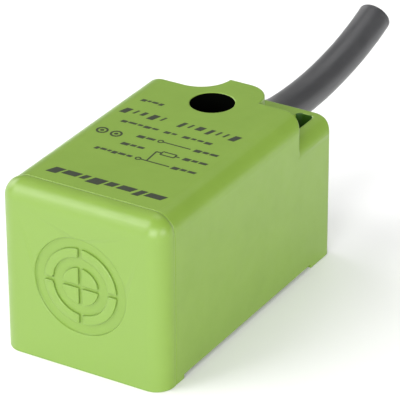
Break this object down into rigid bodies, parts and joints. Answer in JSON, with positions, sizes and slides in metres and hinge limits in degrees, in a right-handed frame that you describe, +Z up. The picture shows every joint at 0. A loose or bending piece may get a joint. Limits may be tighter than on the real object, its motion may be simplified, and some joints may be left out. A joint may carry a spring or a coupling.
{
  "type": "proximity sensor",
  "caption": "Rectangular inductive proximity sensor with a screw-through block body, a target mark on the sensing face and a short wired cable.",
  "frame": {"origin": "bottom centre of the case, with the cable left out", "axes": "+Z up along the fixing hole, -Y out of the sensing face, +Y towards the cable, +X to the right seen from the sensing face's side"},
  "size_m": [0.017, 0.0555, 0.017],
  "materials": {
    "housing": "satin lime green moulding",
    "front_cap": "satin lime green moulding, fine texture on the face",
    "base_cover": "satin lime green",
    "potting_resin": "hard black casting resin",
    "ferrite_core": "matt grey-black sintered ferrite",
    "coil_bobbin": "natural nylon",
    "sensing_coil": "enamelled copper winding",
    "coil_lead_wires": "enamelled copper wire",
    "core_holder": "natural nylon",
    "circuit_board": "green solder mask over glass laminate",
    "oscillator_ic": "moulded black epoxy with tinned leads",
    "output_transistor": "moulded black epoxy with tinned leads",
    "tantalum_capacitor": "moulded yellow epoxy",
    "reverse_diode": "orange-red glass barrel",
    "surge_diode": "moulded black epoxy",
    "ceramic_capacitors": "fired tan ceramic with tinned ends",
    "chip_resistors": "black glazed ceramic with tinned ends",
    "indicator_led": "red diffused resin",
    "light_pipe": "translucent green resin",
    "solder_joints": "bright solder",
    "cable_clamp_ring": "crimped plated steel",
    "brown_core": "brown wire insulation",
    "black_core": "black wire insulation",
    "blue_core": "blue wire insulation",
    "cable_jacket": "dark grey vinyl sheath, slightly glossy"
  },
  "bodies": {
    "root": {"housing": "housing", "front_cap": "front_cap", "base_cover": "base_cover", "potting_resin": "potting_resin", "ferrite_core": "ferrite_core", "coil_bobbin": "coil_bobbin", "sensing_coil": "sensing_coil", "coil_lead_wires": "coil_lead_wires", "core_holder": "core_holder", "circuit_board": "circuit_board", "oscillator_ic": "oscillator_ic", "output_transistor": "output_transistor", "tantalum_capacitor": "tantalum_capacitor", "reverse_diode": "reverse_diode", "surge_diode": "surge_diode", "ceramic_capacitors": "ceramic_capacitors", "chip_resistors": "chip_resistors", "indicator_led": "indicator_led", "light_pipe": "light_pipe", "solder_joints": "solder_joints", "cable_clamp_ring": "cable_clamp_ring", "brown_core": "brown_core", "black_core": "black_core", "blue_core": "blue_core", "cable_jacket": "cable_jacket"}
  },
  "joints": []
}
